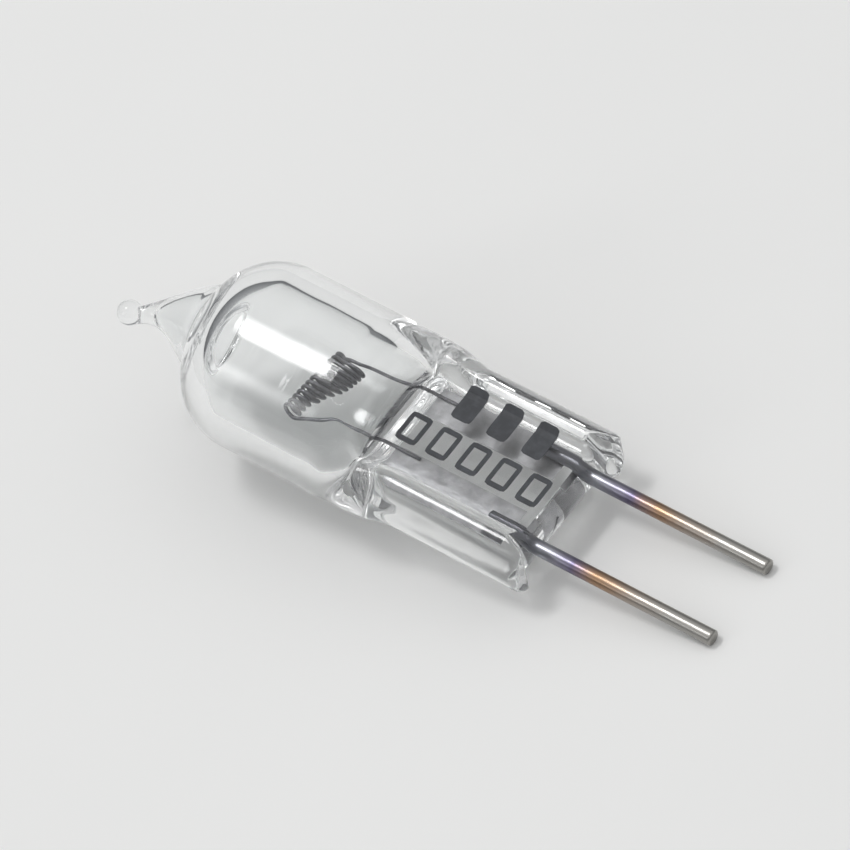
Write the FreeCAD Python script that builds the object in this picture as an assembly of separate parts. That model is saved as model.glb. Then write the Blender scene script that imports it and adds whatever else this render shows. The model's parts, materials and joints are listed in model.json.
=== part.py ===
import FreeCAD, Part
import math
import os

# Quartz halogen capsule lamp for a clinical analyzer: a clear tubular bulb drawn off to an
# exhaust tip, a flat press seal with a thick bead along each side, one tungsten wire wound as a
# coil across the bulb, and two molybdenum pins joined to the wire by thin foils in the seal.
# It has no moving parts.
#
# The lamp is drawn standing on its seal: X runs across the two pins, Y stands on the flat of
# the seal, and Z is the lamp axis with zero at the end of the seal's web, so the pins point
# down. It is then laid on its side as it comes to rest, on the bulb's shoulder and both pins.

# Contact pins, mm
PIN_PITCH = 4.0
PIN_DIAMETER = 0.7
PIN_REACH = 8.85
PIN_CHAMFER = 0.1
PIN_SEALED_LENGTH = 2.3
PIN_SEALED_END_DIAMETER = 0.68

# Sealing foils and their welds, mm
FOIL_WIDTH = 1.5
FOIL_THICKNESS = 0.03
FOIL_INSET = 0.35
FOIL_TO_SHOULDER = 0.2
PIN_WELD_LENGTH = 1.1
LEG_WELD_LENGTH = 1.2
WELD_DEPTH = 0.02

# Filament, mm: a coil across the bulb with a leg from each end down to its foil
WIRE_DIAMETER = 0.17
WIRE_SIDES = 6
COIL_DIAMETER = 0.86
COIL_PITCH = 0.27
COIL_TURNS = 12.5
COIL_SKEW_DEG = 6.0
COIL_ABOVE_SHOULDER = 1.5
POINTS_PER_TURN = 12
BEND_POINTS = 9
FAR_LEG_OUTSET = 0.3
NEAR_LEG_INSET = 0.6
NEAR_LEG_SPREAD = 0.3
LEG_RISE_IN_CAVITY = 0.55
LEG_BEND_BELOW_COIL = 0.95

# Bulb, mm
BULB_DIAMETER = 8.3
WALL = 1.05
TUBE_LENGTH = 4.3
DOME_RADIUS = 2.8
CAVITY_DOME_RADIUS = 1.95

# Exhaust tip, mm: a tube fused to the dome, drawn off to a leaning neck with a small bead
TIP_TUBE_DIAMETER = 3.8
TIP_LENGTH = 4.2
NECK_DIAMETER = 0.86
NECK_LENGTH = 0.2
TIP_BEAD_DIAMETER = 1.1
TIP_LEAN = 1.05
TIP_RINGS = 5
BORE_DIAMETER = 2.75
BORE_STRAIGHT = 0.4
BORE_END_DIAMETER = 0.16
BORE_BELOW_BEAD = 1.0

# Press seal, mm: a flat web between two side beads whose ends reach past the web's end
SEAL_LENGTH = 7.9
SEAL_BESIDE_PIN = 2.0
WEB_THICKNESS = 2.3
WEB_END_RADIUS = 2.4
WEB_BESIDE_PIN = 0.9
BEAD_THICKNESS = 3.2
BEAD_HALF_WIDTH = 1.05
BEAD_SLOPE_WIDTH = 0.8
BEAD_OVERHANG = 0.35
BEAD_END_RADIUS = 0.45
END_RINGS = 3

# Shoulder between seal and bulb, mm
SHOULDER_LENGTH = 3.0
SHOULDER_TIGHTNESS = 4
FLARE = 0.25
FLARE_BELOW = 1.7
FLARE_ABOVE = 1.9
PRESS_RINGS = 2
FLARE_RINGS = 2
SHOULDER_RINGS = 9

# Closed end of the gas space, mm
FLOOR_ABOVE_SEAL = 0.95
FLOOR_WIDTH = 5.0
FLOOR_GAP = 0.3
CAVITY_BELOW_TUBE = 0.3
CAVITY_RINGS = 5
CAVITY_DOME_RINGS = 4

POINTS_PER_RING = 32

pin_radius = PIN_DIAMETER / 2
pin_across = PIN_PITCH / 2
wire_radius = WIRE_DIAMETER / 2
bulb_radius = BULB_DIAMETER / 2
cavity_radius = bulb_radius - WALL
bead_radius = TIP_BEAD_DIAMETER / 2
seal_half_width = pin_across + SEAL_BESIDE_PIN
bead_centre = seal_half_width - BEAD_HALF_WIDTH

# Heights above the web's end, mm
foil_start = PIN_SEALED_LENGTH - PIN_WELD_LENGTH
foil_end = SEAL_LENGTH - FOIL_TO_SHOULDER
floor_height = SEAL_LENGTH + FLOOR_ABOVE_SEAL
tube_start = SEAL_LENGTH + SHOULDER_LENGTH
cavity_top = tube_start - CAVITY_BELOW_TUBE
coil_height = tube_start + COIL_ABOVE_SHOULDER
dome_start = tube_start + TUBE_LENGTH

# Welds: pins and legs lie on the foils with a shallow flat
foil_top = WELD_DEPTH - PIN_SEALED_END_DIAMETER / 2
foil_across = pin_across - FOIL_INSET
leg_level = foil_top + wire_radius - WELD_DEPTH


def vec(x, y, z):
    return FreeCAD.Vector(x, y, z)


def blend(first, second, share):
    return first + (second - first) * share


def steps(first, last, count):
    return [blend(first, last, i / count) for i in range(count + 1)]


def smooth(value, start, end):
    """0 at start and 1 at end, level at both"""
    share = min(1.0, max(0.0, (value - start) / (end - start)))
    return share * share * (3 - 2 * share)


def shoulder_share(height):
    """0 in the seal and 1 in the bulb, with a tight bend at the seal and an easy round above"""
    left = 1 - min(1.0, max(0.0, (height - SEAL_LENGTH) / SHOULDER_LENGTH))
    return 1 - left**SHOULDER_TIGHTNESS * (1 + SHOULDER_TIGHTNESS * (1 - left))


def ring(shape):
    """A smooth closed wire through the points that shape gives for angles round the axis"""
    shares = [i / POINTS_PER_RING for i in range(POINTS_PER_RING + 1)]
    points = [shape(2 * math.pi * share) for share in shares[:-1]]
    curve = Part.BSplineCurve()
    curve.interpolate(Points=points, Parameters=shares, PeriodicFlag=True)
    return Part.Wire(curve.toShape())


def circle(height, radius, offset=0.0):
    return Part.Wire(Part.makeCircle(radius, vec(offset, 0, height), vec(0, 0, 1)))


def strips_through(wires):
    """Faces that run straight from each wire to the next"""
    return Part.makeLoft(wires, False, True).Faces


def revolved(edges):
    return [edge.revolve(vec(0, 0, 0), vec(0, 0, 1), 360).Faces[0] for edge in edges]


def solid_from(faces):
    shell = Part.Shell(faces)
    shell.sewShape()
    solid = Part.Solid(shell)
    if solid.Volume < 0:
        solid.reverse()
    return solid


def dome_height(radius, corner, throat):
    """How far above the tube's end a dome of a corner radius narrows to its throat"""
    return math.sqrt(corner**2 - (throat - radius + corner) ** 2)


tip_radius = TIP_TUBE_DIAMETER / 2
bore_radius = BORE_DIAMETER / 2
tip_start = dome_start + dome_height(bulb_radius, DOME_RADIUS, tip_radius)
bore_start = dome_start + dome_height(cavity_radius, CAVITY_DOME_RADIUS, bore_radius)
bead_top = tip_start + TIP_LENGTH
bead_height = bead_top - bead_radius

shoulder_heights = [
    blend(SEAL_LENGTH, tube_start, share**1.5) for share in steps(0, 1, SHOULDER_RINGS)
]


def seal_half_thickness(across):
    """Half the seal's thickness at a distance from its middle: web, slope, then round bead"""
    away = abs(across)
    if away > bead_centre:
        reach = min(1.0, (away - bead_centre) / BEAD_HALF_WIDTH)
        return BEAD_THICKNESS / 2 * math.sqrt(1 - reach * reach)
    rise = smooth(away, bead_centre - BEAD_SLOPE_WIDTH, bead_centre)
    return blend(WEB_THICKNESS, BEAD_THICKNESS, rise) / 2


def end_inset(height):
    """How far the section is drawn in to round the ends of the beads"""
    left = max(0.0, BEAD_END_RADIUS - height - BEAD_OVERHANG)
    return BEAD_END_RADIUS - math.sqrt(max(0.0, BEAD_END_RADIUS**2 - left**2))


def skin_ring(height):
    """Outer section: web and beads in the seal, turning into a circle at the bulb"""
    widening = smooth(height, SEAL_LENGTH - FLARE_BELOW, SEAL_LENGTH + FLARE_ABOVE)
    half_width = blend(seal_half_width, bulb_radius, widening)
    half_width += FLARE * 4 * widening * (1 - widening)
    inset = end_inset(height)
    opened = shoulder_share(height)

    def shape(angle):
        side = math.sin(angle)
        pressed = math.copysign(seal_half_thickness(seal_half_width * math.cos(angle)), side)
        thickness = blend(pressed, bulb_radius * side, opened)
        return vec(
            (half_width - inset) * math.cos(angle),
            thickness * (1 - 2 * inset / BEAD_THICKNESS),
            height,
        )

    return ring(shape)


def make_skin():
    """The lamp's outer shape up to the neck of the tip"""
    end_turns = steps(0, math.pi / 2, END_RINGS)
    heights = [BEAD_END_RADIUS * (1 - math.cos(turn)) - BEAD_OVERHANG for turn in end_turns]
    heights += steps(BEAD_END_RADIUS, SEAL_LENGTH - FLARE_BELOW, PRESS_RINGS)
    heights += steps(heights[-1], SEAL_LENGTH, FLARE_RINGS)[1:-1]
    seal_wires = [skin_ring(height) for height in heights + shoulder_heights[:-1]]

    tip_wires = []
    for share in steps(0, 1, TIP_RINGS):
        height = blend(tip_start, bead_height, share)
        drawn = smooth(height, tip_start, bead_height - NECK_LENGTH)
        radius = blend(TIP_TUBE_DIAMETER, NECK_DIAMETER, drawn) / 2
        tip_wires.append(circle(height, radius, TIP_LEAN * share**3))

    dome_top = vec(tip_radius, 0, tip_start)
    tube = Part.makeLine(vec(bulb_radius, 0, tube_start), vec(bulb_radius, 0, dome_start))
    centre = vec(bulb_radius - DOME_RADIUS, 0, dome_start)
    middle = (tube.valueAt(TUBE_LENGTH) + dome_top) / 2 - centre
    middle = centre + middle.normalize() * DOME_RADIUS
    dome = Part.Arc(vec(bulb_radius, 0, dome_start), middle, dome_top).toShape()

    faces = [edge.revolve(vec(0, 0, 0), vec(0, 0, 1), 360).Faces[0] for edge in (tube, dome)]
    faces += strips_through(seal_wires + [circle(tube_start, bulb_radius)])
    faces += strips_through(tip_wires)
    faces += [Part.Face(seal_wires[0]), Part.Face(tip_wires[-1])]
    return solid_from(faces)


def cavity_ring(turn):
    """Section of the gas space as the walls close on each other; turn runs 0 to 90 degrees"""
    opened = math.cos(turn)
    half_gap = blend(FLOOR_GAP / 2, cavity_radius, opened)
    half_width = blend(FLOOR_WIDTH / 2, cavity_radius, math.sqrt(max(0.0, opened)))
    height = blend(cavity_top, floor_height, math.sin(turn))
    return ring(lambda a: vec(half_width * math.cos(a), half_gap * math.sin(a), height))


def make_cavity():
    """The gas space with the bore of the exhaust tip"""
    wires = [cavity_ring(turn) for turn in steps(math.pi / 2, 0, CAVITY_RINGS)[:-1]]
    wires.append(circle(cavity_top, cavity_radius))
    for share in steps(0, 1, CAVITY_DOME_RINGS):
        height = blend(dome_start, bore_start, math.sin(share * math.pi / 2))
        inward = math.sqrt(CAVITY_DOME_RADIUS**2 - (height - dome_start) ** 2)
        wires.append(circle(height, cavity_radius - CAVITY_DOME_RADIUS + inward))
    wires.append(circle(bore_start + BORE_STRAIGHT, bore_radius))
    wires.append(circle(bead_height - BORE_BELOW_BEAD, BORE_END_DIAMETER / 2))
    faces = strips_through(wires) + [Part.Face(wires[0]), Part.Face(wires[-1])]
    return solid_from(faces)


def prism(corners, along):
    return Part.Face(Part.makePolygon(corners + corners[:1])).extrude(along)


def make_end_hollow():
    """The space between the bead ends, crowned where it meets the web's end"""
    side = BEAD_THICKNESS
    crown = WEB_END_RADIUS - math.sqrt(WEB_END_RADIUS**2 - side**2 / 4)
    half = pin_across + WEB_BESIDE_PIN
    deep = 2 * BEAD_OVERHANG
    corners = [vec(crown - half, -side, crown), vec(half - crown, -side, crown)]
    corners += [vec(half + deep, -side, -deep), vec(-half - deep, -side, -deep)]
    web = Part.makeCylinder(WEB_END_RADIUS, 4 * half, vec(-2 * half, 0, WEB_END_RADIUS), vec(1, 0, 0))
    return prism(corners, vec(0, 2 * side, 0)).cut(web)


def make_envelope(metal):
    """Quartz body with its gas space, the hollow between the bead ends, and the metal's seats"""
    envelope = make_skin().cut(make_end_hollow()).Solids[0]
    envelope = envelope.fuse(Part.makeSphere(bead_radius, vec(TIP_LEAN, 0, bead_height)))
    return envelope.cut([make_cavity()] + metal).Solids[0]


def make_pin(across):
    """A round pin with a slight taper on its sealed run"""
    end_radius = PIN_SEALED_END_DIAMETER / 2
    outline = [
        vec(0, 0, -PIN_REACH),
        vec(pin_radius - PIN_CHAMFER, 0, -PIN_REACH),
        vec(pin_radius, 0, PIN_CHAMFER - PIN_REACH),
        vec(pin_radius, 0, 0),
        vec(end_radius, 0, PIN_SEALED_LENGTH),
        vec(0, 0, PIN_SEALED_LENGTH),
        vec(0, 0, -PIN_REACH),
    ]
    pin = Part.Face(Part.makePolygon(outline)).revolve(vec(0, 0, 0), vec(0, 0, 1), 360)
    pin.translate(vec(across, 0, 0))
    return pin


def make_foil(across):
    corner = vec(across - FOIL_WIDTH / 2, foil_top - FOIL_THICKNESS, foil_start)
    return Part.makeBox(FOIL_WIDTH, FOIL_THICKNESS, foil_end - foil_start, corner)


def coil_points():
    """Points along the coil's centre line, from the far end to the near end"""
    skew = math.radians(COIL_SKEW_DEG)
    radius = (COIL_DIAMETER - WIRE_DIAMETER) / 2
    along = vec(math.cos(skew), 0, math.sin(skew))
    up = vec(-math.sin(skew), 0, math.cos(skew))
    points = []
    for turn in steps(0, COIL_TURNS, round(COIL_TURNS * POINTS_PER_TURN)):
        angle = 2 * math.pi * turn
        centre = vec(0, 0, coil_height) + along * (COIL_PITCH * (turn - COIL_TURNS / 2))
        around = vec(0, radius * math.cos(angle), 0) + up * (radius * math.sin(angle))
        points.append(centre + around)
    return points


def leg_points(across, bend, coil_start):
    """A leg's straight run up its foil, then its bend over to the first two coil points"""
    bottom = vec(across, leg_level, foil_end - LEG_WELD_LENGTH)
    top = vec(across, leg_level, floor_height + LEG_RISE_IN_CAVITY)
    curve = Part.BSplineCurve()
    curve.interpolate(
        Points=[top, bend, coil_start[0]],
        InitialTangent=vec(0, 0, bend.z - top.z),
        FinalTangent=(coil_start[1] - coil_start[0]).normalize(),
    )
    return [bottom] + curve.toShape().discretize(BEND_POINTS)[:-1]


def make_filament():
    """One tungsten wire: far leg, coil, near leg"""
    coil = coil_points()
    far_across = -foil_across - FAR_LEG_OUTSET
    near_across = foil_across - NEAR_LEG_INSET
    bend_height = coil_height - LEG_BEND_BELOW_COIL
    far_bend = vec(far_across, 0, bend_height)
    near_bend = vec(near_across + NEAR_LEG_SPREAD, leg_level, bend_height)
    far_leg = leg_points(far_across, far_bend, coil[:2])
    near_leg = leg_points(near_across, near_bend, coil[:-3:-1])
    points = far_leg + coil + near_leg[::-1]

    side = vec(0, 1, 0)
    sections = []
    for before, point, after in zip(points[:1] + points, points, points[1:] + points[-1:]):
        ahead = (after - before).normalize()
        side = (side - ahead * side.dot(ahead)).normalize()
        third = ahead.cross(side)
        corners = []
        for i in range(WIRE_SIDES):
            angle = 2 * math.pi * (i + 0.5) / WIRE_SIDES
            corner = side * math.cos(angle) + third * math.sin(angle)
            corners.append(point + corner * wire_radius)
        sections.append(Part.makePolygon(corners + corners[:1]))
    return Part.makeLoft(sections, True, True)


def rest_tilt():
    """Angle of the floor to the lamp axis when pin tips and shoulder both touch it"""
    slopes = []
    for height in shoulder_heights:
        depth = blend(WEB_THICKNESS / 2, bulb_radius, shoulder_share(height))
        slopes.append((depth - pin_radius) / (height + PIN_REACH - PIN_CHAMFER))
    return math.atan(max(slopes))


def laid_down(shape, tilt):
    """The lamp's place on the floor: +X towards the pin tips, the seal's flat facing up"""
    lift = (PIN_REACH - PIN_CHAMFER) * math.sin(tilt) + pin_radius * math.cos(tilt)
    pin_end = PIN_REACH * math.cos(tilt) + (pin_radius - PIN_CHAMFER) * math.sin(tilt)
    bead_end = bead_height * math.cos(tilt) + bead_radius
    turn = FreeCAD.Rotation(vec(0, 1, 0), math.degrees(tilt))
    turn = turn * FreeCAD.Rotation(vec(1, 0, 0), 90) * FreeCAD.Rotation(vec(0, 1, 0), -90)
    placed = shape.copy()
    place = FreeCAD.Placement(vec((bead_end - pin_end) / 2, 0, lift), turn)
    placed.Placement = place * placed.Placement
    return placed


far_foil = make_foil(-foil_across)
near_foil = make_foil(foil_across)
far_pin = make_pin(-pin_across)
near_pin = make_pin(pin_across)
filament = make_filament()

pieces = {
    "quartz_envelope": make_envelope([far_foil, near_foil, far_pin, near_pin, filament]),
    "filament": filament.cut([far_foil, near_foil]).Solids[0],
    "seal_foil_far": far_foil,
    "seal_foil_near": near_foil,
    "contact_pin_far": far_pin.cut(far_foil).Solids[0],
    "contact_pin_near": near_pin.cut(near_foil).Solids[0],
}

os.makedirs("parts", exist_ok=True)
tilt = rest_tilt()
for name, shape in pieces.items():
    laid_down(shape, tilt).exportStep("parts/" + name + ".step")
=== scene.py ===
import json
import math

import bmesh
import bpy
from mathutils import Matrix, Vector


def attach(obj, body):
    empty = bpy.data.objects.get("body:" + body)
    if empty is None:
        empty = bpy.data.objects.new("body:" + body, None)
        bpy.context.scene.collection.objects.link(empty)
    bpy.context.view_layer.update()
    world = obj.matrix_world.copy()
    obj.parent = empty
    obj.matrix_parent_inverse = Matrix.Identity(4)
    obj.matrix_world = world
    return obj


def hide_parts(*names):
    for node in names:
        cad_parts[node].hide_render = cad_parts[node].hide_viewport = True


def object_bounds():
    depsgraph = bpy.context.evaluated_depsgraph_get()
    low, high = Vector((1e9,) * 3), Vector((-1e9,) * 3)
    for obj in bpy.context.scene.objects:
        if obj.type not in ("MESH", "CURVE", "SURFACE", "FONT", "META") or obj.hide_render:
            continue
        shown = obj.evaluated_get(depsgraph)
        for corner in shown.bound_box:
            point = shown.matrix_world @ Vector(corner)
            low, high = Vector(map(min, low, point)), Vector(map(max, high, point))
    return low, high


bl_info = {
    "name": "Quartz capsule lamp",
    "version": (1, 0, 0),
    "blender": (4, 5, 0),
    "location": "3D View > Sidebar > Lamp",
    "description": "Glass, metal and studio of a two-pin quartz capsule lamp",
    "category": "Object",
}

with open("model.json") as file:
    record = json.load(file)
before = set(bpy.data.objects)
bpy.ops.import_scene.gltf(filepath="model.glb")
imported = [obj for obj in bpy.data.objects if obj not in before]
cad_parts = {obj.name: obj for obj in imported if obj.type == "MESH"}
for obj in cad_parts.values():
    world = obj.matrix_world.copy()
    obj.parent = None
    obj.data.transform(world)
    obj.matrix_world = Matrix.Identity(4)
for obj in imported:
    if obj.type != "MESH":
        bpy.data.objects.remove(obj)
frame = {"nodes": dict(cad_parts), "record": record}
CAD_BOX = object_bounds()

MM = 0.001
SENSOR_WIDTH = 36.0

# Where the camera's right and up point, fitted to the lamp in the photograph
CAMERA_RIGHT = Vector((0.7688, 0.575, -0.2822))
CAMERA_UP = Vector((-0.2999, 0.712, 0.6356))

# Where the lights stand, seen from the lamp; the key's reflection falls on the bulb as a band
KEY_DIRECTION = Vector((-0.232, -0.084, 0.969))
RIM_DIRECTION = Vector((-0.4, -0.8, 0.45))

# Light meets many quartz faces between the press seal and the bulb before it leaves
LIGHT_BOUNCES = 120

# Mesh steps along each stretch of the glass, round a turn of the coil and along a leg
OUTSIDE_STEPS = {
    "end": 14,
    "press": 24,
    "shoulder": 72,
    "tube": 12,
    "dome": 28,
    "fillet": 8,
    "tip": 40,
    "bead": 20,
}
GAS_SPACE_STEPS = {"end": 32, "tube": 12, "dome": 24, "bore": 24}
COIL_STEPS = 20
LEG_STEPS = {"foot": 6, "bend": 10, "coil": 12}

# Points of a mesh nearer than this, in millimetres, are one point
MERGE_MM = 0.0005
DEGENERATE_MM = 0.0001


def lamp_placement():
    """Matrix from the lamp's own upright millimetres to its place on the floor.

    Upright, X runs across the pins, Y stands on the seal's flat and Z is the lamp axis, with
    zero at the end of the seal's web. The first pin mount gives the axis, and its place, with Y
    set to zero, gives that point.
    """
    mount = frame["record"]["mounts"][0]
    axis = Vector(mount["axis"])
    place = Vector(mount["pos_m"])
    tilt = math.atan2(-axis.z, axis.x)
    turn = Matrix.Rotation(tilt, 4, "Y")
    turn = turn @ Matrix.Rotation(math.radians(90), 4, "X") @ Matrix.Rotation(math.radians(-90), 4, "Y")
    return Matrix.Translation((place.x, 0, place.z)) @ turn @ Matrix.Scale(MM, 4)


LAY = lamp_placement()


def length(name, description, millimetres):
    return bpy.props.FloatProperty(
        name=name, description=description, default=millimetres * MM, min=0, unit="LENGTH", precision=5
    )


def angle(name, description, degrees):
    return bpy.props.FloatProperty(
        name=name, description=description, default=math.radians(degrees), subtype="ANGLE"
    )


def number(name, description, default):
    return bpy.props.FloatProperty(name=name, description=description, default=default, min=0)


def count(name, description, default):
    return bpy.props.IntProperty(name=name, description=description, default=default, min=3)


def from_hex(text):
    """An sRGB hex colour as linear red, green and blue"""
    values = [int(text[i : i + 2], 16) / 255 for i in (1, 3, 5)]
    return [v / 12.92 if v <= 0.04045 else ((v + 0.055) / 1.055) ** 2.4 for v in values]


def colour(name, description, text):
    return bpy.props.FloatVectorProperty(
        name=name, description=description, default=from_hex(text), subtype="COLOR", min=0, max=1
    )


class LampGlassSettings(bpy.types.PropertyGroup):
    bulb_diameter: length("Bulb diameter", "Outside of the bulb", 8.3)
    wall: length("Wall", "Thickness of the bulb's wall", 1.05)
    seal_length: length("Seal length", "Pressed seal, from the web's end to the shoulder", 7.9)
    shoulder_length: length("Shoulder length", "From the seal to the full bulb", 3.0)
    tube_length: length("Tube length", "Straight part of the bulb", 4.3)
    dome_radius: length("Dome radius", "Rounding of the bulb's closed end", 2.8)
    cavity_dome_radius: length("Inner dome radius", "Rounding of the gas space's end", 1.95)
    tip_diameter: length("Tip foot diameter", "Exhaust tip where it leaves the dome", 3.8)
    tip_length: length("Tip length", "From the dome to the end of the bead", 4.2)
    tip_lean: length("Tip lean", "How far the tip's bead stands off the axis", 1.05)
    tip_fillet: length("Tip fillet", "Melted hollow round the foot of the tip", 0.6)
    neck_diameter: length("Neck diameter", "Thinnest part of the tip, under its bead", 0.86)
    bead_diameter: length("Bead diameter", "Melted bead at the end of the tip", 1.1)
    bore_diameter: length("Bore diameter", "Bore of the exhaust tip", 2.75)
    bore_below_bead: length("Bore end", "From the end of the bore to the bead's middle", 1.0)
    seal_width: length("Seal width", "Across both side beads of the seal", 8.0)
    web_thickness: length("Web thickness", "Flat middle of the seal", 2.3)
    web_end_radius: length("Web end radius", "Crown of the web's end across its thickness", 2.4)
    web_end_width: length("Web end width", "How much of the web's end is level", 5.7)
    side_thickness: length("Side bead thickness", "Thick bead along each side of the seal", 3.2)
    side_rounding: length("Side bead half width", "From the bead's thickest line to its side", 1.05)
    side_slope: length("Side bead slope", "Width of the slope from the web to the bead", 0.8)
    side_end_radius: length("Side bead end radius", "Rounding of the bead's end", 0.45)
    overhang: length("Side bead overhang", "How far the side beads pass the web's end", 0.35)
    flare: length("Flare", "How far the sides bulge where seal and bulb meet", 0.25)
    flare_below: length("Flare start", "How far below the seal's top the sides start to widen", 1.7)
    flare_above: length("Flare end", "How far above the seal's top the widening ends", 1.9)
    shoulder_tightness: number("Shoulder tightness", "How sharply the shoulder leaves the seal", 4)
    floor_width: length("Gas space floor", "Width of the gas space's closed end", 5.0)
    floor_gap: length("Gas space end gap", "Thickness of the gas space at its closed end", 0.3)
    floor_above_seal: length("Gas space end", "From the seal's top to the gas space", 0.95)
    cavity_below_tube: length("Gas space bend", "From the gas space's full width to the tube", 0.3)
    columns: count("Columns", "Mesh columns round the glass", 144)
    glass_index: number("Glass index", "Refraction index of fused quartz", 1.458)


class LampWireSettings(bpy.types.PropertyGroup):
    wire_diameter: length("Wire diameter", "Tungsten wire", 0.17)
    coil_diameter: length("Coil diameter", "Outside of the coil", 0.86)
    coil_pitch: length("Coil pitch", "From turn to turn", 0.27)
    turns: number("Turns", "Turns of the coil", 12.5)
    skew: angle("Skew", "How far the coil is turned from the line of the pins", 6)
    coil_height: length("Coil height", "Coil's middle above the web's end", 12.4)
    far_leg: length("Far leg place", "Distance of the far leg from the axis", 1.95)
    near_leg: length("Near leg place", "Distance of the near leg from the axis", 1.05)
    near_spread: length("Near leg spread", "How far the near leg bends out to the coil", 0.3)
    leg_depth: length("Leg depth", "How far the legs stand below the pins' plane", 0.255)
    leg_foot: length("Leg foot", "Lower end of a leg above the web's end", 6.5)
    leg_bend: length("Leg bend", "Height at which a leg starts to bend", 9.4)
    below_coil: length("Bend below coil", "From the leg's upper bend to the coil's middle", 0.95)


class LampPinSettings(bpy.types.PropertyGroup):
    pitch: length("Pin pitch", "Between the pins' axes", 4.0)
    diameter: length("Pin diameter", "Thickness of a pin", 0.7)
    reach: length("Pin reach", "Free length of a pin", 8.85)
    sealed: length("Sealed length", "Part of a pin inside the seal", 2.3)
    sealed_diameter: length("Sealed end diameter", "Thickness of a pin at its sealed end", 0.68)
    rounding: length("End rounding", "Rounding of the pin's free end", 0.1)


class LampPrintSettings(bpy.types.PropertyGroup):
    thickness: length("Ink thickness", "Height of the print above the glass", 0.012)
    bold_marks: count("Bold marks", "Marks in the bold row", 3)
    bold_across: length("Bold row place", "From the lamp's axis to the bold row, over the far pin", 1.75)
    bold_start: length("Bold row start", "From the web's end to the first bold mark's middle", 2.25)
    bold_end: length("Bold row end", "From the web's end to the last bold mark's middle", 5.8)
    bold_width: length("Bold mark width", "Across the lamp", 1.65)
    bold_length: length("Bold mark length", "Along the lamp", 1.0)
    thin_marks: count("Thin marks", "Marks in the thin row", 5)
    thin_across: length("Thin row place", "From the lamp's axis to the thin row", 0.35)
    thin_start: length("Thin row start", "From the web's end to the first thin mark's middle", 1.12)
    thin_end: length("Thin row end", "From the web's end to the last thin mark's middle", 7.18)
    thin_width: length("Thin mark width", "Across the lamp", 1.5)
    thin_length: length("Thin mark length", "Along the lamp", 1.05)


class LampColourSettings(bpy.types.PropertyGroup):
    quartz: colour("Quartz", "Clear fused quartz", "#FDFEFE")
    tungsten: colour("Tungsten", "Drawn tungsten, greyed by baking", "#8E8E92")
    molybdenum: colour("Molybdenum", "Clean molybdenum at the pins' ends", "#9E9C98")
    heat_grey: colour("Heat grey", "Scale on the pins next to the glass", "#9C9DA4")
    heat_blue: colour("Heat blue", "Heat tint on the pins, farther from the glass", "#6E687E")
    heat_brown: colour("Heat brown", "Heat tint along the middle of the pins", "#987C64")
    foil: colour("Foil", "Molybdenum foil in the seal", "#A8A8AA")
    ink: colour("Ink", "Fired ceramic print", "#3A3C40")
    floor: colour("Floor", "Pale studio floor", "#EDEDEC")
    horizon: colour("Horizon", "Studio walls at floor level", "#606265")
    walls: colour("Walls", "Studio walls higher up", "#A0A2A4")
    ceiling: colour("Ceiling", "Studio ceiling", "#FFFFFF")


class LampStageSettings(bpy.types.PropertyGroup):
    view_width: length("View width", "What the picture's width takes in at the lamp", 35)
    camera_distance: length("Camera distance", "From the lamp to the camera", 400)
    floor_size: length("Floor size", "Side of the floor board", 3000)
    key_power: number("Key power", "Watts of the large soft light", 1.6)
    key_distance: length("Key distance", "From the lamp to the key light", 450)
    key_width: length("Key width", "Side of the key light across the lamp", 220)
    key_length: length("Key length", "Side of the key light along the lamp", 100)
    rim_power: number("Rim power", "Watts of the side light", 0.3)
    rim_distance: length("Rim distance", "From the lamp to the side light", 400)
    rim_width: length("Rim width", "Side of the side light across the lamp", 120)
    rim_length: length("Rim length", "Side of the side light along the lamp", 250)
    surround: number("Surround", "Strength of the studio's even light", 0.86)


SETTINGS = {
    "lamp_glass": LampGlassSettings,
    "lamp_wire": LampWireSettings,
    "lamp_pins": LampPinSettings,
    "lamp_print": LampPrintSettings,
    "lamp_colours": LampColourSettings,
    "lamp_stage": LampStageSettings,
}


def mm(metres):
    return metres / MM


def blend(first, second, share):
    return first + (second - first) * share


def steps(first, last, number_of_steps):
    return [blend(first, last, i / number_of_steps) for i in range(number_of_steps + 1)]


def smooth(value, start, end):
    share = min(1.0, max(0.0, (value - start) / (end - start)))
    return share * share * (3 - 2 * share)


def setback(distance, radius):
    """How far a rounded edge has fallen away at a distance from where its rounding ends"""
    inside = min(1.0, max(0.0, 1 - distance / radius))
    return radius * (1 - math.sqrt(1 - inside * inside))


# Meshes


def warped_tube(columns, rows):
    """A grid rolled into a closed tube: row i runs through the points that rows[i](angle) gives"""
    bm = bmesh.new()
    bmesh.ops.create_grid(bm, x_segments=columns, y_segments=len(rows) - 1, size=0.5)
    for vert in bm.verts:
        row = rows[round((vert.co.y + 0.5) * (len(rows) - 1))]
        vert.co = row((vert.co.x + 0.5) * math.tau)
    bmesh.ops.remove_doubles(bm, verts=bm.verts, dist=MERGE_MM)
    bmesh.ops.dissolve_degenerate(bm, edges=bm.edges, dist=DEGENERATE_MM)
    bmesh.ops.recalc_face_normals(bm, faces=bm.faces)
    return bm


def finished(name, bm, material, nodes, rounded=True):
    """The lamp's own object of a mesh that is still in upright millimetres"""
    bmesh.ops.transform(bm, matrix=LAY, verts=bm.verts)
    mesh = bpy.data.meshes.new(name)
    bm.to_mesh(mesh)
    bm.free()
    for face in mesh.polygons:
        face.use_smooth = rounded
    piece = bpy.data.objects.new(name, mesh)
    bpy.context.collection.objects.link(piece)
    mesh.materials.append(material)
    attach(piece, "root")
    if nodes:
        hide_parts(*nodes)
    return piece


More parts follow.
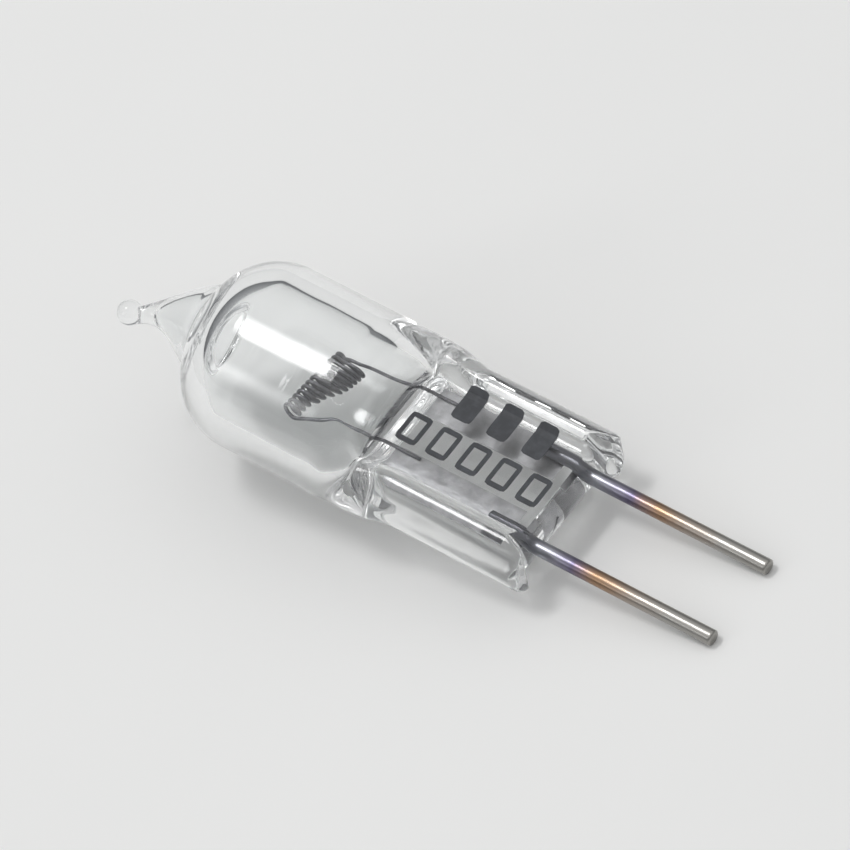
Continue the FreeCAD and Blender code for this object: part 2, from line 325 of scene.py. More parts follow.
class GlassForm:
    """Heights and sections of the quartz body, in upright millimetres"""

    def __init__(self, sizes):
        self.bulb = mm(sizes.bulb_diameter) / 2
        self.cavity = self.bulb - mm(sizes.wall)
        self.seal_end = mm(sizes.seal_length)
        self.tube_start = self.seal_end + mm(sizes.shoulder_length)
        self.dome_start = self.tube_start + mm(sizes.tube_length)
        self.dome_radius = mm(sizes.dome_radius)
        self.cavity_dome = mm(sizes.cavity_dome_radius)
        self.tip = mm(sizes.tip_diameter) / 2
        self.bore = mm(sizes.bore_diameter) / 2
        self.tip_start = self.dome_start + self.dome_rise(self.bulb, self.dome_radius, self.tip)
        self.bore_start = self.dome_start + self.dome_rise(self.cavity, self.cavity_dome, self.bore)
        self.bead = mm(sizes.bead_diameter) / 2
        self.bead_height = self.tip_start + mm(sizes.tip_length) - self.bead
        self.neck = mm(sizes.neck_diameter) / 2
        self.lean = mm(sizes.tip_lean)
        self.tip_fillet = mm(sizes.tip_fillet)
        self.bore_end = self.bead_height - mm(sizes.bore_below_bead)
        self.half_width = mm(sizes.seal_width) / 2
        self.web = mm(sizes.web_thickness) / 2
        self.web_end_radius = mm(sizes.web_end_radius)
        self.web_end = mm(sizes.web_end_width) / 2
        self.side = mm(sizes.side_thickness) / 2
        self.side_rounding = mm(sizes.side_rounding)
        self.side_centre = self.half_width - self.side_rounding
        self.side_slope = mm(sizes.side_slope)
        self.side_end_radius = mm(sizes.side_end_radius)
        self.overhang = mm(sizes.overhang)
        self.flare = mm(sizes.flare)
        self.flare_start = self.seal_end - mm(sizes.flare_below)
        self.flare_end = self.seal_end + mm(sizes.flare_above)
        self.tightness = sizes.shoulder_tightness
        self.floor = mm(sizes.floor_width) / 2
        self.floor_gap = mm(sizes.floor_gap) / 2
        self.floor_height = self.seal_end + mm(sizes.floor_above_seal)
        self.cavity_top = self.tube_start - mm(sizes.cavity_below_tube)

    def dome_rise(self, radius, corner, throat):
        """How far above the tube's end a dome of a corner radius narrows to its throat"""
        return math.sqrt(corner**2 - (throat - radius + corner) ** 2)

    def seal_half_thickness(self, across):
        """Half the seal's thickness at a distance from its middle: web, slope, round bead"""
        away = abs(across)
        if away > self.side_centre:
            reach = min(1.0, (away - self.side_centre) / self.side_rounding)
            return self.side * math.sqrt(1 - reach * reach)
        slope = smooth(away, self.side_centre - self.side_slope, self.side_centre)
        return blend(self.web, self.side, slope)

    def end_point(self, turn, share):
        """A point of the seal's end face; share runs from 0 on its middle line to 1 at its rim"""
        across = self.half_width * math.cos(turn)
        away = abs(across)
        thickness = self.seal_half_thickness(across)
        level = thickness * share
        in_bead = smooth(away, self.web_end, self.web_end + self.side_end_radius)
        crown = setback(self.web_end_radius - level, self.web_end_radius)
        rounding = setback(thickness - level, self.side_end_radius)
        rounding = max(rounding, setback(self.half_width - away, self.side_end_radius))
        height = blend(crown, rounding - self.overhang, in_bead)
        return Vector((across, math.copysign(level, math.sin(turn)), height))

    def press_point(self, turn, share):
        """A point of the seal's side; share runs from 0 at its end face to 1 at the flare"""
        foot = self.end_point(turn, 1)
        return Vector((foot.x, foot.y, blend(foot.z, self.flare_start, share)))

    def section_point(self, turn, height):
        """A point of the outside between the seal and the full bulb"""
        widening = smooth(height, self.flare_start, self.flare_end)
        half_width = blend(self.half_width, self.bulb, widening)
        half_width += self.flare * 4 * widening * (1 - widening)
        left = 1 - min(1.0, max(0.0, (height - self.seal_end) / (self.tube_start - self.seal_end)))
        opened = 1 - left**self.tightness * (1 + self.tightness * (1 - left))
        side = math.sin(turn)
        pressed = math.copysign(self.seal_half_thickness(self.half_width * math.cos(turn)), side)
        return Vector((half_width * math.cos(turn), blend(pressed, self.bulb * side, opened), height))

    def round_point(self, turn, radius, height, offset=0.0):
        return Vector((offset + radius * math.cos(turn), radius * math.sin(turn), height))

    def oval_point(self, turn, half_width, half_thickness, height):
        return Vector((half_width * math.cos(turn), half_thickness * math.sin(turn), height))

    def drawn_in(self, share):
        """0 at the tip's foot and 1 at its neck, already narrowing at the foot"""
        # The narrowing would have begun this far under the foot, as a share of the tip
        before = -0.3
        start = smooth(0, before, 1)
        return (smooth(share, before, 1) - start) / (1 - start)

    def outer_rows(self):
        """Rows of the outside, from the middle of the seal's end to the end of the tip's bead"""
        counts = OUTSIDE_STEPS
        end_shares = [math.sin(turn) for turn in steps(0, math.pi / 2, counts["end"])[:-1]]
        rows = [lambda t, s=share: self.end_point(t, s) for share in end_shares]
        press_shares = steps(0, 1, counts["press"])[:-1]
        rows += [lambda t, s=share: self.press_point(t, s) for share in press_shares]
        heights = steps(self.flare_start, self.tube_start, counts["shoulder"])
        rows += [lambda t, h=height: self.section_point(t, h) for height in heights]
        heights = steps(self.tube_start, self.dome_start, counts["tube"])[1:]
        rows += [lambda t, h=height: self.round_point(t, self.bulb, h) for height in heights]
        dome_reach = self.dome_radius + self.tip_fillet
        top_turn = math.acos((self.tip + dome_reach - self.bulb) / dome_reach)
        for turn in steps(0, top_turn, counts["dome"])[1:]:
            radius = self.bulb - self.dome_radius * (1 - math.cos(turn))
            height = self.dome_start + self.dome_radius * math.sin(turn)
            rows.append(lambda t, r=radius, h=height: self.round_point(t, r, h))
        fillet_top = self.dome_start + dome_reach * math.sin(top_turn)
        for turn in steps(top_turn, 0, counts["fillet"])[1:]:
            radius = self.tip + self.tip_fillet * (1 - math.cos(turn))
            height = fillet_top - self.tip_fillet * math.sin(turn)
            rows.append(lambda t, r=radius, h=height: self.round_point(t, r, h))
        neck_turn = math.asin(self.neck / self.bead)
        neck_height = self.bead_height - self.bead * math.cos(neck_turn)
        for share in steps(0, 1, counts["tip"])[1:]:
            height = blend(fillet_top, neck_height, share)
            radius = blend(self.tip, self.neck, self.drawn_in(share))
            offset = self.lean * share**3
            rows.append(lambda t, r=radius, h=height, o=offset: self.round_point(t, r, h, o))
        for turn in steps(neck_turn, math.pi, counts["bead"])[1:]:
            radius = self.bead * math.sin(turn)
            height = self.bead_height - self.bead * math.cos(turn)
            rows.append(lambda t, r=radius, h=height: self.round_point(t, r, h, self.lean))
        return rows

    def inner_rows(self):
        """Rows of the gas space, from its closed end over the seal to the end of the tip's bore"""
        counts = GAS_SPACE_STEPS
        rows = []
        for gap in (0, self.floor_gap / 2):
            rows.append(lambda t, g=gap: self.oval_point(t, self.floor, g, self.floor_height))
        for turn in steps(math.pi / 2, 0, counts["end"]):
            opened = math.cos(turn)
            gap = blend(self.floor_gap, self.cavity, opened)
            width = blend(self.floor, self.cavity, math.sqrt(max(0.0, opened)))
            height = blend(self.cavity_top, self.floor_height, math.sin(turn))
            rows.append(lambda t, w=width, g=gap, h=height: self.oval_point(t, w, g, h))
        heights = steps(self.cavity_top, self.dome_start, counts["tube"])[1:]
        rows += [lambda t, h=height: self.round_point(t, self.cavity, h) for height in heights]
        top_turn = math.acos((self.bore - self.cavity + self.cavity_dome) / self.cavity_dome)
        for turn in steps(0, top_turn, counts["dome"])[1:]:
            radius = self.cavity - self.cavity_dome * (1 - math.cos(turn))
            height = self.dome_start + self.cavity_dome * math.sin(turn)
            rows.append(lambda t, r=radius, h=height: self.round_point(t, r, h))
        # The bore closes to a round end while the tube round it is drawn thinner and leans
        narrowing = 0.5
        narrow_from, narrow_to = 0.1, 1.2
        bore_lean = 0.5
        for share in steps(0, 1, counts["bore"])[1:]:
            height = blend(self.bore_start, self.bore_end, share)
            drawn = 1 - narrowing * smooth(share, narrow_from, narrow_to)
            radius = self.bore * math.sqrt(1 - share**3) * drawn
            offset = self.lean * bore_lean * share**3
            rows.append(lambda t, r=radius, h=height, o=offset: self.round_point(t, r, h, o))
        return rows


def coil_points(wire):
    """Points along the coil's centre line, far end first, in upright millimetres"""
    radius = (mm(wire.coil_diameter) - mm(wire.wire_diameter)) / 2
    along = Vector((math.cos(wire.skew), 0, math.sin(wire.skew)))
    up = Vector((-math.sin(wire.skew), 0, math.cos(wire.skew)))
    middle = Vector((0, 0, mm(wire.coil_height)))
    points = []
    for turn in steps(0, wire.turns, round(wire.turns * COIL_STEPS)):
        turned = math.tau * turn
        centre = middle + along * mm(wire.coil_pitch) * (turn - wire.turns / 2)
        around = Vector((0, radius * math.cos(turned), 0)) + up * radius * math.sin(turned)
        points.append(centre + around)
    return points


def hermite(start, start_pull, end, end_pull, share):
    """A point of the smooth bend between two points that leaves and arrives along their pulls"""
    a = 2 * share**3 - 3 * share**2 + 1
    b = share**3 - 2 * share**2 + share
    c = share**3 - share**2
    return start * a + start_pull * b + end * (1 - a) + end_pull * c


def leg_points(wire, across, bend, coil_start):
    """A leg up from its foil and over to the coil's first point"""
    pull = 0.9
    level = -mm(wire.leg_depth)
    bottom = Vector((across, level, mm(wire.leg_foot)))
    top = Vector((across, level, mm(wire.leg_bend)))
    rise = (bend.z - top.z) * pull
    straight = Vector((0, 0, rise))
    upward = (bend - top).normalized() * rise
    arrive = (coil_start[1] - coil_start[0]).normalized() * pull
    foot, middle, end = (steps(0, 1, LEG_STEPS[part])[:-1] for part in ("foot", "bend", "coil"))
    points = [bottom.lerp(top, share) for share in foot]
    points += [hermite(top, straight, bend, upward, share) for share in middle]
    points += [hermite(bend, upward, coil_start[0], arrive, share) for share in end]
    return points


# Materials


def node(tree, kind, settings=None, links=None):
    """Adds a node with its settings, and links its inputs to other nodes' sockets"""
    added = tree.nodes.new(kind)
    for key, value in (settings or {}).items():
        if isinstance(key, int) or key in added.inputs:
            added.inputs[key].default_value = value
        else:
            setattr(added, key, value)
    for key, socket in (links or {}).items():
        tree.links.new(socket, added.inputs[key])
    return added


def new_material(name):
    material = bpy.data.materials.new(name)
    material.use_nodes = True
    material.node_tree.nodes.clear()
    return material, material.node_tree


def lamp_coordinates(tree):
    """Object coordinates turned back to the lamp's upright millimetres"""
    place, turn, scale = LAY.inverted().decompose()
    texture = node(tree, "ShaderNodeTexCoord")
    settings = {"vector_type": "POINT", "Location": place, "Rotation": turn.to_euler(), "Scale": scale}
    return node(tree, "ShaderNodeMapping", settings, {"Vector": texture.outputs["Object"]})


def ramp(tree, stops, links):
    """A colour ramp; each stop is a place and a linear colour"""
    added = node(tree, "ShaderNodeValToRGB", None, links)
    elements = added.color_ramp.elements
    while len(elements) < len(stops):
        elements.new(0.5)
    for element, (place, linear) in zip(elements, stops):
        element.position = place
        element.color = (*linear, 1)
    return added


def surface(tree, shader):
    node(tree, "ShaderNodeOutputMaterial", None, {"Surface": shader.outputs[0]})


def fused_quartz(colours, glass):
    """Fused quartz, drawn and fire polished: clear, with slow waves that the flame leaves"""
    material, tree = new_material("fused_quartz_fire_polished")
    place = lamp_coordinates(tree)
    wave_mm = 2.2
    waves = node(
        tree,
        "ShaderNodeTexNoise",
        {"Scale": 1 / wave_mm, "Detail": 1.0, "Roughness": 0.4},
        {"Vector": place.outputs["Vector"]},
    )
    # The waves bend what shows through the glass very slightly
    bump = node(
        tree,
        "ShaderNodeBump",
        {"Strength": 0.35, "Distance": 0.06 * MM},
        {"Height": waves.outputs["Fac"]},
    )
    shader = node(
        tree,
        "ShaderNodeBsdfPrincipled",
        {
            "Base Color": (*colours.quartz, 1),
            "Roughness": 0.0,
            "IOR": glass.glass_index,
            "Transmission Weight": 1.0,
        },
        {"Normal": bump.outputs["Normal"]},
    )
    surface(tree, shader)
    return material


def drawn_tungsten(colours):
    """Tungsten, drawn and baked: dark grey metal whose turns catch a soft line of light"""
    material, tree = new_material("tungsten_drawn_wire")
    place = lamp_coordinates(tree)
    grain_mm = 0.07
    grain = node(
        tree,
        "ShaderNodeTexNoise",
        {"Scale": 1 / grain_mm, "Detail": 3.0},
        {"Vector": place.outputs["Vector"]},
    )
    # The grain makes the wire darker and rougher in spots
    spot_shade = 0.5
    dark = [channel * spot_shade for channel in colours.tungsten]
    tint = ramp(tree, [(0.3, dark), (0.7, list(colours.tungsten))], {"Fac": grain.outputs["Fac"]})
    rough = node(
        tree,
        "ShaderNodeMapRange",
        {"To Min": 0.32, "To Max": 0.5},
        {"Value": grain.outputs["Fac"]},
    )
    shader = node(
        tree,
        "ShaderNodeBsdfPrincipled",
        {"Metallic": 1.0},
        {"Base Color": tint.outputs["Color"], "Roughness": rough.outputs["Result"]},
    )
    surface(tree, shader)
    return material


def tinted_molybdenum(colours, pins):
    """Molybdenum, drawn and heated in sealing: painted shade darkens it in the seal, grey where it
    leaves the glass, then blue, then brown, and clean metal at the free ends, with fine draw lines"""
    material, tree = new_material("molybdenum_drawn_heat_tinted")
    place = lamp_coordinates(tree)
    height = node(tree, "ShaderNodeSeparateXYZ", None, {"Vector": place.outputs["Vector"]})
    blotch_mm = 1.1
    wander_mm = 1.4
    blotch = node(
        tree,
        "ShaderNodeTexNoise",
        {"Scale": 1 / blotch_mm, "Detail": 3.0},
        {"Vector": place.outputs["Vector"]},
    )
    # Each tint ends in a wandering line rather than a straight one
    wander = node(
        tree,
        "ShaderNodeMath",
        {"operation": "MULTIPLY_ADD", 1: wander_mm},
        {0: blotch.outputs["Fac"], 2: height.outputs["Z"]},
    )
    along = node(
        tree,
        "ShaderNodeMapRange",
        {"From Min": mm(pins.sealed) + wander_mm / 2, "From Max": wander_mm / 2 - mm(pins.reach)},
        {"Value": wander.outputs["Value"]},
    )
    # Painted shade: the scale is darker inside the seal, fading out just past the glass's end
    seal_painted_shade = 0.5
    exit_painted_shade = 0.6
    fading = 0.6
    # The places run from the sealed end, 0, to the free end, 1
    stops = [
        (0.0, [channel * seal_painted_shade for channel in colours.heat_grey]),
        (0.17, [channel * exit_painted_shade for channel in colours.heat_grey]),
        (0.25, list(colours.heat_grey)),
        (0.385, list(colours.heat_blue)),
        (0.5, list(colours.heat_brown)),
        (0.63, [blend(a, b, fading) for a, b in zip(colours.heat_brown, colours.molybdenum)]),
        (0.79, list(colours.molybdenum)),
    ]
    tint = ramp(tree, stops, {"Fac": along.outputs["Result"]})
    # Draw lines run along the pin: finer across it than along it
    line_mm = 0.06
    line_stretch = 16
    stretch = node(
        tree,
        "ShaderNodeMapping",
        {"Scale": (1, 1, 1 / line_stretch)},
        {"Vector": place.outputs["Vector"]},
    )
    lines = node(
        tree,
        "ShaderNodeTexNoise",
        {"Scale": 1 / line_mm, "Detail": 2.0},
        {"Vector": stretch.outputs["Vector"]},
    )
    rough = node(
        tree,
        "ShaderNodeMapRange",
        {"To Min": 0.2, "To Max": 0.42},
        {"Value": lines.outputs["Fac"]},
    )
    bump = node(
        tree,
        "ShaderNodeBump",
        {"Strength": 0.4, "Distance": 0.006 * MM},
        {"Height": lines.outputs["Fac"]},
    )
    shader = node(
        tree,
        "ShaderNodeBsdfPrincipled",
        {"Metallic": 1.0},
        {
            "Base Color": tint.outputs["Color"],
            "Roughness": rough.outputs["Result"],
            "Normal": bump.outputs["Normal"],
        },
    )
    surface(tree, shader)
    return material


def rolled_foil(colours):
    """Molybdenum foil, rolled and etched: satin grey with faint creases from the pressing"""
    material, tree = new_material("molybdenum_rolled_foil")
    place = lamp_coordinates(tree)
    crease_mm = 0.45
    creases = node(
        tree,
        "ShaderNodeTexNoise",
        {"Scale": 1 / crease_mm, "Detail": 3.0},
        {"Vector": place.outputs["Vector"]},
    )
    crease_gain = 1.5
    light = [min(1.0, channel * crease_gain) for channel in colours.foil]
    tint = ramp(tree, [(0.3, list(colours.foil)), (0.75, light)], {"Fac": creases.outputs["Fac"]})
    bump = node(
        tree,
        "ShaderNodeBump",
        {"Strength": 0.5, "Distance": 0.05 * MM},
        {"Height": creases.outputs["Fac"]},
    )
    shader = node(
        tree,
        "ShaderNodeBsdfPrincipled",
        {"Metallic": 1.0, "Roughness": 0.38},
        {"Base Color": tint.outputs["Color"], "Normal": bump.outputs["Normal"]},
    )
    surface(tree, shader)
    return material


def fired_ink(colours):
    """Ceramic ink, stamped and fired: matt dark grey, a little paler where it lies thinner"""
    material, tree = new_material("ceramic_ink_stamped")
    place = lamp_coordinates(tree)
    patch_mm = 0.33
    patches = node(
        tree,
        "ShaderNodeTexNoise",
        {"Scale": 1 / patch_mm, "Detail": 5.0},
        {"Vector": place.outputs["Vector"]},
    )
    thin_gain = 1.6
    pale = [channel * thin_gain for channel in colours.ink]
    tint = ramp(tree, [(0.4, list(colours.ink)), (0.8, pale)], {"Fac": patches.outputs["Fac"]})
    shader = node(
        tree,
        "ShaderNodeBsdfPrincipled",
        {"Roughness": 0.6, "IOR": 1.5},
        {"Base Color": tint.outputs["Color"]},
    )
    surface(tree, shader)
    return material


def pale_floor(colours):
    """Painted board, sprayed matt: pale and plain, with a very slight unevenness"""
    material, tree = new_material("board_sprayed_matt")
    place = node(tree, "ShaderNodeTexCoord")
    mottle_mm = 25
    mottle = node(
        tree,
        "ShaderNodeTexNoise",
        {"Scale": 1 / (mottle_mm * MM), "Detail": 3.0},
        {"Vector": place.outputs["Object"]},
    )
    mottle_shade = 0.985
    lower = [channel * mottle_shade for channel in colours.floor]
    tint = ramp(tree, [(0.3, lower), (0.7, list(colours.floor))], {"Fac": mottle.outputs["Fac"]})
    shader = node(
        tree,
        "ShaderNodeBsdfPrincipled",
        {"Roughness": 0.85, "Specular IOR Level": 0.2},
        {"Base Color": tint.outputs["Color"]},
    )
    surface(tree, shader)
    return material


def studio(colours, strength):
    """The studio round the lamp: dusky at floor level, which draws the glass edges, white above"""
    world = bpy.data.worlds.new("studio")
    world.use_nodes = True
    tree = world.node_tree
    tree.nodes.clear()
    place = node(tree, "ShaderNodeTexCoord")
    height = node(tree, "ShaderNodeSeparateXYZ", None, {"Vector": place.outputs["Generated"]})
    # The places are heights on the sky's dome: 0 at floor level and 1 overhead
    stops = [(0.0, list(colours.horizon)), (0.3, list(colours.walls)), (0.8, list(colours.ceiling))]
    sky = ramp(tree, stops, {"Fac": height.outputs["Z"]})
    light = node(tree, "ShaderNodeBackground", {"Strength": strength}, {"Color": sky.outputs["Color"]})
    node(tree, "ShaderNodeOutputWorld", None, {"Surface": light.outputs["Background"]})
    return world


def soften(data):
    """Lets a light fall off to its edges like a cloth softbox, so that its reflection is soft"""
    data.use_nodes = True
    tree = data.node_tree
    tree.nodes.clear()
    place = node(tree, "ShaderNodeNewGeometry")
    split = node(tree, "ShaderNodeSeparateXYZ", None, {"Vector": place.outputs["Parametric"]})
    # Shares of the light's side: its middle, and where the falling off ends
    middle = 0.5
    full_from = 0.45
    shares = []
    for axis in ("X", "Y"):
        fold = {"operation": "PINGPONG", 1: middle}
        inward = node(tree, "ShaderNodeMath", fold, {0: split.outputs[axis]})
        share = node(
            tree,
            "ShaderNodeMapRange",
            {"interpolation_type": "SMOOTHSTEP", "From Max": full_from},
            {"Value": inward.outputs["Value"]},
        )
        shares.append(share.outputs["Result"])
    strength = node(tree, "ShaderNodeMath", {"operation": "MULTIPLY"}, {0: shares[0], 1: shares[1]})
    glow = node(tree, "ShaderNodeEmission", None, {"Strength": strength.outputs["Value"]})
    node(tree, "ShaderNodeOutputLight", None, {"Surface": glow.outputs["Emission"]})


# Operators


class LampOperator(bpy.types.Operator):
    bl_options = {"REGISTER", "UNDO"}


class LAMP_OT_glass(LampOperator):
    """Makes the quartz body with its gas space"""

    bl_idname = "lamp.make_glass"
    bl_label = "Make glass"

    def execute(self, context):
        sizes = context.scene.lamp_glass
        form = GlassForm(sizes)
        glass = warped_tube(sizes.columns, form.outer_rows())
        hollow = warped_tube(sizes.columns, form.inner_rows())
        bmesh.ops.reverse_faces(hollow, faces=hollow.faces)
        inner = bpy.data.meshes.new("gas_space")
        hollow.to_mesh(inner)
        hollow.free()
        glass.from_mesh(inner)
        bpy.data.meshes.remove(inner)
        material = fused_quartz(context.scene.lamp_colours, sizes)
        finished("lamp_glass", glass, material, ["quartz_envelope"])
        return {"FINISHED"}


class LAMP_OT_filament(LampOperator):
    """Makes the tungsten wire: far leg, coil and near leg"""

    bl_idname = "lamp.make_filament"
    bl_label = "Make filament"

    def execute(self, context):
        wire = context.scene.lamp_wire
        coil = coil_points(wire)
        far, near = -mm(wire.far_leg), mm(wire.near_leg)
        bend_height = mm(wire.coil_height - wire.below_coil)
        far_bend = Vector((far, 0, bend_height))
        near_bend = Vector((near + mm(wire.near_spread), -mm(wire.leg_depth), bend_height))
        far_leg = leg_points(wire, far, far_bend, coil[:2])
        near_leg = leg_points(wire, near, near_bend, coil[:-3:-1])
        points = far_leg + coil + near_leg[::-1]
        curve = bpy.data.curves.new("filament_line", "CURVE")
        curve.dimensions = "3D"
        spline = curve.splines.new("NURBS")
        spline.points.add(len(points) - 1)
        for spot, point in zip(spline.points, points):
            spot.co = (*point, 1)
        spline.order_u = 3
        spline.use_endpoint_u = True
        spline.resolution_u = 2
        curve.bevel_depth = mm(wire.wire_diameter) / 2
        curve.bevel_resolution = 4
        curve.use_fill_caps = True
        line = bpy.data.objects.new("filament_line", curve)
        mesh = bpy.data.meshes.new_from_object(line)
        bm = bmesh.new()
        bm.from_mesh(mesh)
        bmesh.ops.remove_doubles(bm, verts=bm.verts, dist=MERGE_MM)
        bmesh.ops.recalc_face_normals(bm, faces=bm.faces)
        bpy.data.objects.remove(line)
        bpy.data.meshes.remove(mesh)
        bpy.data.curves.remove(curve)
        material = drawn_tungsten(context.scene.lamp_colours)
        finished("filament_wire", bm, material, ["filament"])
        return {"FINISHED"}


class LAMP_OT_pins(LampOperator):
    """Makes the two contact pins"""

    bl_idname = "lamp.make_pins"
    bl_label = "Make pins"

    def execute(self, context):
        sizes = context.scene.lamp_pins
        material = tinted_molybdenum(context.scene.lamp_colours, sizes)
        reach, sealed = mm(sizes.reach), mm(sizes.sealed)
        rounding = mm(sizes.rounding)
        for side, across in (("far", -mm(sizes.pitch) / 2), ("near", mm(sizes.pitch) / 2)):
            bm = bmesh.new()
            middle = Matrix.Translation((across, 0, (sealed - reach) / 2))
            bmesh.ops.create_cone(
                bm,
                cap_ends=True,
                segments=48,
                radius1=mm(sizes.diameter) / 2,
                radius2=mm(sizes.sealed_diameter) / 2,
                depth=reach + sealed,
                matrix=middle,
            )
            rim = [edge for edge in bm.edges if all(vert.co.z < 0 for vert in edge.verts)]
            bmesh.ops.bevel(
                bm,
                geom=rim,
                offset=rounding,
                segments=5,
                profile=0.5,
                affect="EDGES",
                material=-1,
            )
            # A ring next to each end keeps the smooth shading straight along the pin
            for height in (rounding * 1.5 - reach, sealed - rounding / 2):
                bmesh.ops.bisect_plane(
                    bm,
                    geom=bm.verts[:] + bm.edges[:] + bm.faces[:],
                    plane_co=(across, 0, height),
                    plane_no=(0, 0, 1),
                )
            finished("pin_metal_" + side, bm, material, ["contact_pin_" + side])
        return {"FINISHED"}


class LAMP_OT_foils(LampOperator):
    """Gives the two sealing foils their metal"""

    bl_idname = "lamp.finish_foils"
    bl_label = "Finish foils"

    def execute(self, context):
        material = rolled_foil(context.scene.lamp_colours)
        for side in ("far", "near"):
            foil = frame["nodes"]["seal_foil_" + side]
            foil.data.materials.clear()
            foil.data.materials.append(material)
        return {"FINISHED"}


class LAMP_OT_print(LampOperator):
    """Lays the plain marks of the print on the seal's flat"""

    bl_idname = "lamp.make_print"
    bl_label = "Make print"

    def mark(self, form, across, along, width, height, hollow):
        """A patch with blunt corners on the seal's face, open in the middle if hollow"""
        corner_left = 0.92
        bm = bmesh.new()
        bmesh.ops.create_grid(bm, x_segments=6, y_segments=5, size=0.5)
        for vert in bm.verts:
            if len(vert.link_faces) == 1:
                vert.co *= corner_left
        if hollow:
            middle = [face for face in bm.faces if not any(vert.is_boundary for vert in face.verts)]
            bmesh.ops.delete(bm, geom=middle, context="FACES")
        for vert in bm.verts:
            x = across + vert.co.x * width
            vert.co = Vector((x, form.seal_half_thickness(x) + self.lift, along + vert.co.y * height))
        return bm

    def row(self, ink, form, across, heights, width, height, hollow):
        """Adds a row of marks to the ink"""
        for along in heights:
            patch = self.mark(form, across, along, width, height, hollow)
            mesh = bpy.data.meshes.new("patch")
            patch.to_mesh(mesh)
            patch.free()
            ink.from_mesh(mesh)
            bpy.data.meshes.remove(mesh)

    def execute(self, context):
        sizes = context.scene.lamp_print
        # The ink is this share of the print's height, so that it stays clear of the glass
        ink_share = 0.7
        self.lift = mm(sizes.thickness)
        form = GlassForm(context.scene.lamp_glass)
        ink = bmesh.new()
        bold = steps(mm(sizes.bold_start), mm(sizes.bold_end), sizes.bold_marks - 1)
        thin = steps(mm(sizes.thin_start), mm(sizes.thin_end), sizes.thin_marks - 1)
        bold_size = (mm(sizes.bold_width), mm(sizes.bold_length))
        thin_size = (mm(sizes.thin_width), mm(sizes.thin_length))
        self.row(ink, form, -mm(sizes.bold_across), bold, *bold_size, hollow=False)
        self.row(ink, form, mm(sizes.thin_across), thin, *thin_size, hollow=True)
        bmesh.ops.solidify(ink, geom=ink.faces[:], thickness=self.lift * ink_share)
        bmesh.ops.recalc_face_normals(ink, faces=ink.faces)
        material = fired_ink(context.scene.lamp_colours)
        finished("print_marks", ink, material, [], rounded=False)
        return {"FINISHED"}


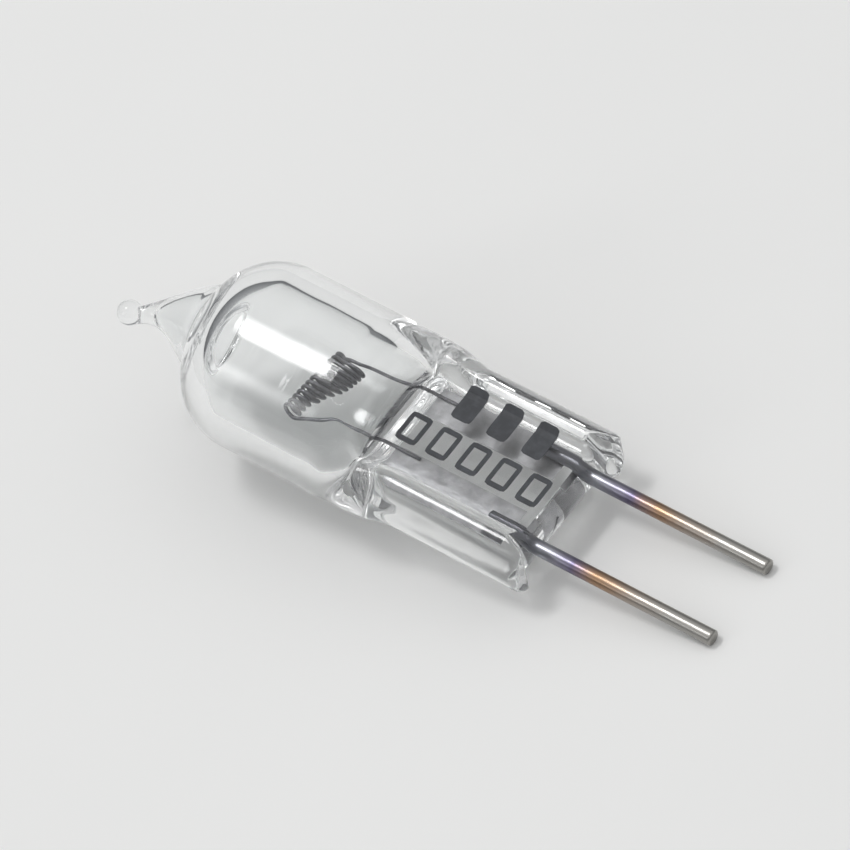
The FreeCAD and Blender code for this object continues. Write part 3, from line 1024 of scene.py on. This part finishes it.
class LAMP_OT_stage(LampOperator):
    """Sets the floor, the studio light and the camera"""

    bl_idname = "lamp.make_stage"
    bl_label = "Make stage"

    def floor(self, stage, material):
        bm = bmesh.new()
        bmesh.ops.create_grid(bm, x_segments=1, y_segments=1, size=stage.floor_size / 2)
        mesh = bpy.data.meshes.new("floor")
        bm.to_mesh(mesh)
        bm.free()
        mesh.materials.append(material)
        board = bpy.data.objects.new("floor", mesh)
        bpy.context.collection.objects.link(board)

    def camera(self, stage):
        """A camera that looks at the lamp from where the photograph does"""
        back = CAMERA_RIGHT.cross(CAMERA_UP).normalized()
        up = back.cross(CAMERA_RIGHT).normalized()
        data = bpy.data.cameras.new("camera")
        data.sensor_width = SENSOR_WIDTH
        data.lens = SENSOR_WIDTH * stage.camera_distance / stage.view_width
        data.clip_start = stage.camera_distance / 10
        camera = bpy.data.objects.new("camera", data)
        bpy.context.collection.objects.link(camera)
        turn = Matrix((CAMERA_RIGHT.normalized(), up, back)).transposed().to_4x4()
        camera.matrix_world = Matrix.Translation(self.aim + back * stage.camera_distance) @ turn
        return camera

    def light(self, name, direction, distance, size, power):
        """A soft light that faces the lamp; its size runs across the lamp first, then along it"""
        data = bpy.data.lights.new(name, "AREA")
        data.shape = "RECTANGLE"
        data.size, data.size_y = size
        data.energy = power
        soften(data)
        light = bpy.data.objects.new(name, data)
        bpy.context.collection.objects.link(light)
        toward = direction.normalized()
        across = Vector((0, 1, 0)).cross(toward).cross(toward).normalized()
        turn = Matrix((across, toward.cross(across), toward)).transposed().to_4x4()
        light.matrix_world = Matrix.Translation(self.aim + toward * distance) @ turn

    def execute(self, context):
        scene = context.scene
        stage = scene.lamp_stage
        low, high = CAD_BOX
        self.aim = (low + high) / 2
        self.floor(stage, pale_floor(scene.lamp_colours))
        scene.camera = self.camera(stage)
        key_size = (stage.key_width, stage.key_length)
        self.light("key_light", KEY_DIRECTION, stage.key_distance, key_size, stage.key_power)
        rim_size = (stage.rim_width, stage.rim_length)
        self.light("rim_light", RIM_DIRECTION, stage.rim_distance, rim_size, stage.rim_power)
        scene.world = studio(scene.lamp_colours, stage.surround)
        scene.view_settings.view_transform = "Standard"
        scene.cycles.max_bounces = LIGHT_BOUNCES
        scene.cycles.transmission_bounces = LIGHT_BOUNCES
        scene.cycles.glossy_bounces = LIGHT_BOUNCES
        return {"FINISHED"}


class LAMP_PT_panel(bpy.types.Panel):
    """Lists the lamp's sizes, colours and operators"""

    bl_idname = "LAMP_PT_panel"
    bl_label = "Quartz lamp"
    bl_space_type = "VIEW_3D"
    bl_region_type = "UI"
    bl_category = "Lamp"

    def draw(self, context):
        for name, group in SETTINGS.items():
            box = self.layout.box()
            for key in group.__annotations__:
                box.prop(getattr(context.scene, name), key)
        for operator in OPERATORS:
            self.layout.operator(operator.bl_idname)


OPERATORS = (LAMP_OT_glass, LAMP_OT_filament, LAMP_OT_pins, LAMP_OT_foils, LAMP_OT_print, LAMP_OT_stage)


def register():
    for group in SETTINGS.values():
        bpy.utils.register_class(group)
    for name, group in SETTINGS.items():
        setattr(bpy.types.Scene, name, bpy.props.PointerProperty(type=group))
    for item in OPERATORS + (LAMP_PT_panel,):
        bpy.utils.register_class(item)


def unregister():
    for item in reversed(OPERATORS + (LAMP_PT_panel,)):
        bpy.utils.unregister_class(item)
    for name in SETTINGS:
        delattr(bpy.types.Scene, name)
    for group in SETTINGS.values():
        bpy.utils.unregister_class(group)


def main():
    register()
    bpy.ops.lamp.make_glass()
    bpy.ops.lamp.make_filament()
    bpy.ops.lamp.make_pins()
    bpy.ops.lamp.finish_foils()
    bpy.ops.lamp.make_print()
    bpy.ops.lamp.make_stage()


if __name__ == "__main__":
    main()
